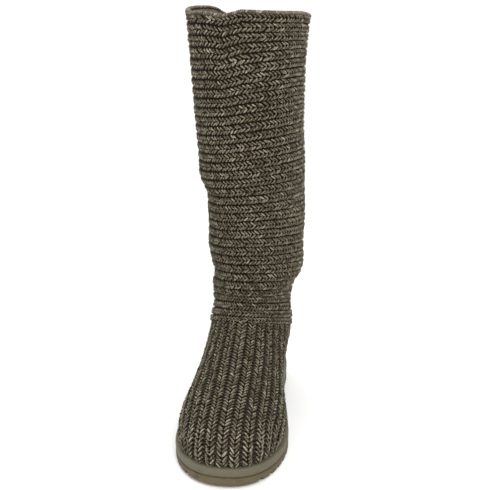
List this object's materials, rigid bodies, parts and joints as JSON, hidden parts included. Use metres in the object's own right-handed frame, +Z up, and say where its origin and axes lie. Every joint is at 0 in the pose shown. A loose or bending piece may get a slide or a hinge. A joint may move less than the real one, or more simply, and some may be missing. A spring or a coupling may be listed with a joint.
{
  "type": "boot",
  "caption": "Tall knit boot for the right foot: a ribbed wool upper with a cuffless open collar on a low foam sole with a grooved rubber tread.",
  "frame": {"origin": "on the floor, below the middle of the boot's box", "axes": "+Z up, the toe points to -Y, +X is the inner (medial) side of this right boot"},
  "size_m": [0.1153, 0.268, 0.3873],
  "materials": {
    "wool_knit": "heather olive-grey chunky wool knit",
    "footbed_fleece": "short natural fleece",
    "sole_foam": "matt olive-grey foam",
    "tread_rubber": "matt brown-olive rubber"
  },
  "bodies": {
    "root": {"upper": "wool_knit", "insole": "footbed_fleece", "midsole": "sole_foam", "outsole": "tread_rubber"}
  },
  "joints": []
}
